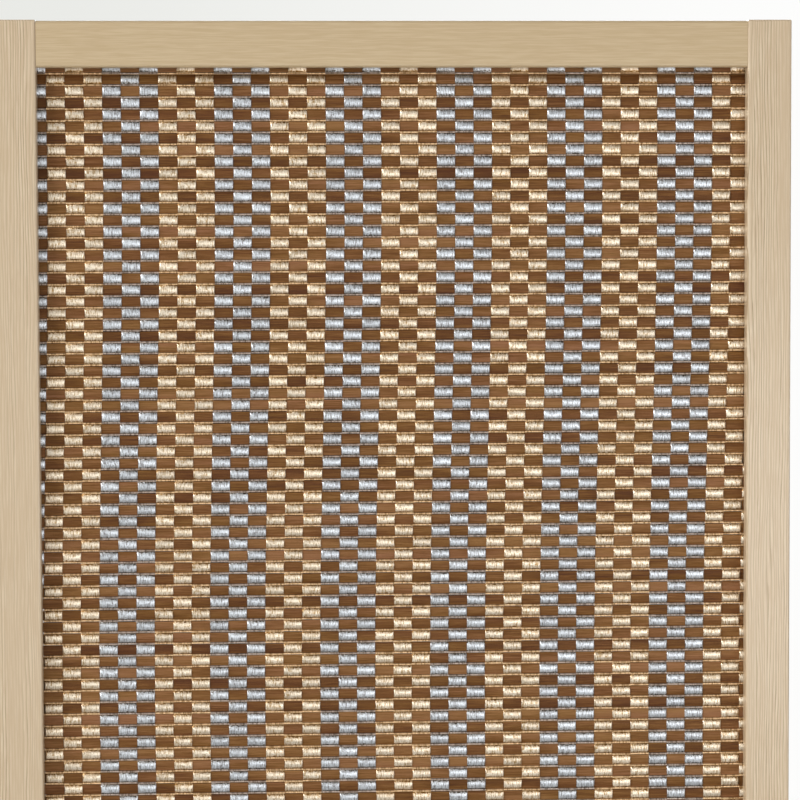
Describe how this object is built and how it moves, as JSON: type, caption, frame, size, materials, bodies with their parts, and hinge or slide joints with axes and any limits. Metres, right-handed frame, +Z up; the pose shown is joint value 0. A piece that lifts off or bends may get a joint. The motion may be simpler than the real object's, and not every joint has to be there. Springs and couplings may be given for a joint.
{
  "type": "folding screen",
  "caption": "Free-standing folding screen: hinged panels in a zigzag, each a slim pine frame round a woven mat of bamboo slats with gold and silver bands.",
  "frame": {"origin": "on the floor, under the centre of the middle panel, which is also the centre of the bounding box's base", "axes": "+Z up the stiles, +X along the line of the screen towards the right panel, -Y towards the viewer in front"},
  "size_m": [1.2132, 0.2432, 1.75],
  "materials": {
    "pine": "smooth satin",
    "dowel_wood": "matt",
    "bamboo": "satin",
    "cord_fibre": "matt",
    "gold_yarn": "metallic",
    "silver_yarn": "metallic",
    "plated_steel": "zinc plated"
  },
  "bodies": {
    "left_panel": {"left_panel_left_stile": "pine", "left_panel_right_stile": "pine", "left_panel_top_rail": "pine", "left_panel_bottom_rail": "pine", "left_panel_dowels": "dowel_wood", "left_panel_slats": "bamboo", "left_panel_binder_cords": "cord_fibre", "left_panel_gold_warp": "gold_yarn", "left_panel_silver_warp": "silver_yarn", "left_top_hinge_outer_leaf": "plated_steel", "left_middle_hinge_outer_leaf": "plated_steel", "left_bottom_hinge_outer_leaf": "plated_steel", "left_outer_hinge_screws": "plated_steel"},
    "middle_panel": {"middle_panel_left_stile": "pine", "middle_panel_right_stile": "pine", "middle_panel_top_rail": "pine", "middle_panel_bottom_rail": "pine", "middle_panel_dowels": "dowel_wood", "middle_panel_slats": "bamboo", "middle_panel_binder_cords": "cord_fibre", "middle_panel_gold_warp": "gold_yarn", "middle_panel_silver_warp": "silver_yarn", "left_top_hinge_pin": "plated_steel", "left_top_hinge_inner_leaf": "plated_steel", "left_middle_hinge_pin": "plated_steel", "left_middle_hinge_inner_leaf": "plated_steel", "left_bottom_hinge_pin": "plated_steel", "left_bottom_hinge_inner_leaf": "plated_steel", "left_inner_hinge_screws": "plated_steel", "right_top_hinge_pin": "plated_steel", "right_top_hinge_inner_leaf": "plated_steel", "right_middle_hinge_pin": "plated_steel", "right_middle_hinge_inner_leaf": "plated_steel", "right_bottom_hinge_pin": "plated_steel", "right_bottom_hinge_inner_leaf": "plated_steel", "right_inner_hinge_screws": "plated_steel"},
    "right_panel": {"right_panel_left_stile": "pine", "right_panel_right_stile": "pine", "right_panel_top_rail": "pine", "right_panel_bottom_rail": "pine", "right_panel_dowels": "dowel_wood", "right_panel_slats": "bamboo", "right_panel_binder_cords": "cord_fibre", "right_panel_gold_warp": "gold_yarn", "right_panel_silver_warp": "silver_yarn", "right_top_hinge_outer_leaf": "plated_steel", "right_middle_hinge_outer_leaf": "plated_steel", "right_bottom_hinge_outer_leaf": "plated_steel", "right_outer_hinge_screws": "plated_steel"}
  },
  "joints": [
    {"name": "left_fold", "type": "hinge", "parent": "middle_panel", "child": "left_panel", "pos_m": [-0.20336, 0.10078, 0.875], "axis": [0, 0, 1], "range_deg": [-60, 120]},
    {"name": "right_fold", "type": "hinge", "parent": "middle_panel", "child": "right_panel", "pos_m": [0.20336, -0.10078, 0.875], "axis": [0, 0, 1], "range_deg": [-60, 120]}
  ]
}
